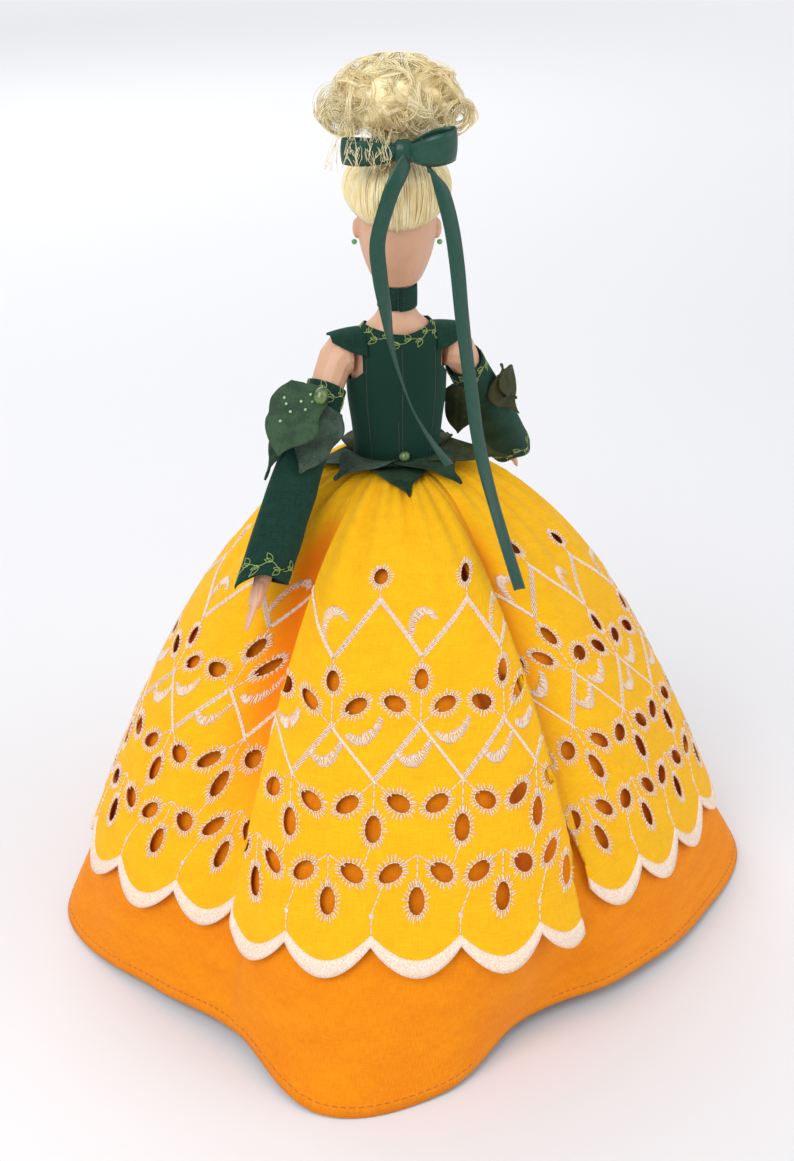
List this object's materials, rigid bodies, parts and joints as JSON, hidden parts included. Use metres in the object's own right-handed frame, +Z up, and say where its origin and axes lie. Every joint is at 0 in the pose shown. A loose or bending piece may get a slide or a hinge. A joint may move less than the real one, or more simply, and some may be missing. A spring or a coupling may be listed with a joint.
{
  "type": "dressed fashion doll",
  "caption": "Standing fashion doll with a curled updo, wearing a ball gown with a scalloped eyelet overskirt and felt leaves.",
  "frame": {"origin": "centre of the bounding box's base, where the skirt's hem stands on the floor", "axes": "+Z up through the head, the doll faces -Y, its left side is +X"},
  "size_m": [0.2743, 0.255, 0.3281],
  "materials": {
    "vinyl": "soft satin vinyl",
    "hair": "fine pale blonde fibre",
    "elastic": "matt golden elastic",
    "satin_ribbon": "dark green satin",
    "green_cloth": "dark green napped cloth",
    "eyelet_cotton": "golden cotton with pale embroidery",
    "orange_cotton": "plain orange cotton",
    "leaf_green": "soft felt",
    "leaf_olive": "soft felt",
    "green_bead": "glossy",
    "slipper": "satin"
  },
  "bodies": {
    "torso": {"torso": "vinyl", "bodice": "green_cloth", "choker": "green_cloth", "underskirt": "orange_cotton", "overskirt": "eyelet_cotton", "bud_bead": "green_bead", "waist_leaf_1": "leaf_green", "waist_leaf_2": "leaf_olive", "waist_leaf_3": "leaf_olive", "waist_leaf_4": "leaf_green", "waist_leaf_5": "leaf_green", "waist_leaf_6": "leaf_olive", "waist_leaf_7": "leaf_green", "waist_leaf_8": "leaf_olive"},
    "head": {"head": "vinyl", "hair_cap": "hair", "hair_updo": "hair", "hair_elastic": "elastic", "ribbon_bow": "satin_ribbon", "ribbon_tail_left": "satin_ribbon", "ribbon_tail_right": "satin_ribbon", "earring_left": "green_bead", "earring_right": "green_bead"},
    "left_arm": {"arm_left": "vinyl", "sleeve_left": "green_cloth", "oval_bead_left": "green_bead", "sleeve_leaf_left_front": "leaf_green", "sleeve_leaf_left_back": "leaf_olive", "sleeve_leaf_left_outer": "leaf_green"},
    "right_arm": {"arm_right": "vinyl", "sleeve_right": "green_cloth", "oval_bead_right": "green_bead", "sleeve_leaf_right_front": "leaf_green", "sleeve_leaf_right_back": "leaf_olive", "sleeve_leaf_right_outer": "leaf_green"},
    "left_leg": {"leg_left": "vinyl", "shoe_left": "slipper"},
    "right_leg": {"leg_right": "vinyl", "shoe_right": "slipper"}
  },
  "joints": [
    {"name": "head_turn", "type": "hinge", "parent": "torso", "child": "head", "pos_m": [0.0065, -0.0007, 0.2497], "axis": [0, 0, 1], "range_deg": [-60, 60], "deforming": ["ribbon_tail_left", "ribbon_tail_right"]},
    {"name": "left_arm_swing", "type": "hinge", "parent": "torso", "child": "left_arm", "pos_m": [0.0279, -0.0007, 0.2255], "axis": [1, 0, 0], "range_deg": [0, 150]},
    {"name": "right_arm_swing", "type": "hinge", "parent": "torso", "child": "right_arm", "pos_m": [-0.0149, -0.0007, 0.2255], "axis": [-1, 0, 0], "range_deg": [0, 140]},
    {"name": "left_leg_swing", "type": "hinge", "parent": "torso", "child": "left_leg", "pos_m": [0.0195, -0.0007, 0.145], "axis": [-1, 0, 0], "range_deg": [-15, 25]},
    {"name": "right_leg_swing", "type": "hinge", "parent": "torso", "child": "right_leg", "pos_m": [-0.0065, -0.0007, 0.145], "axis": [-1, 0, 0], "range_deg": [-15, 25]}
  ]
}
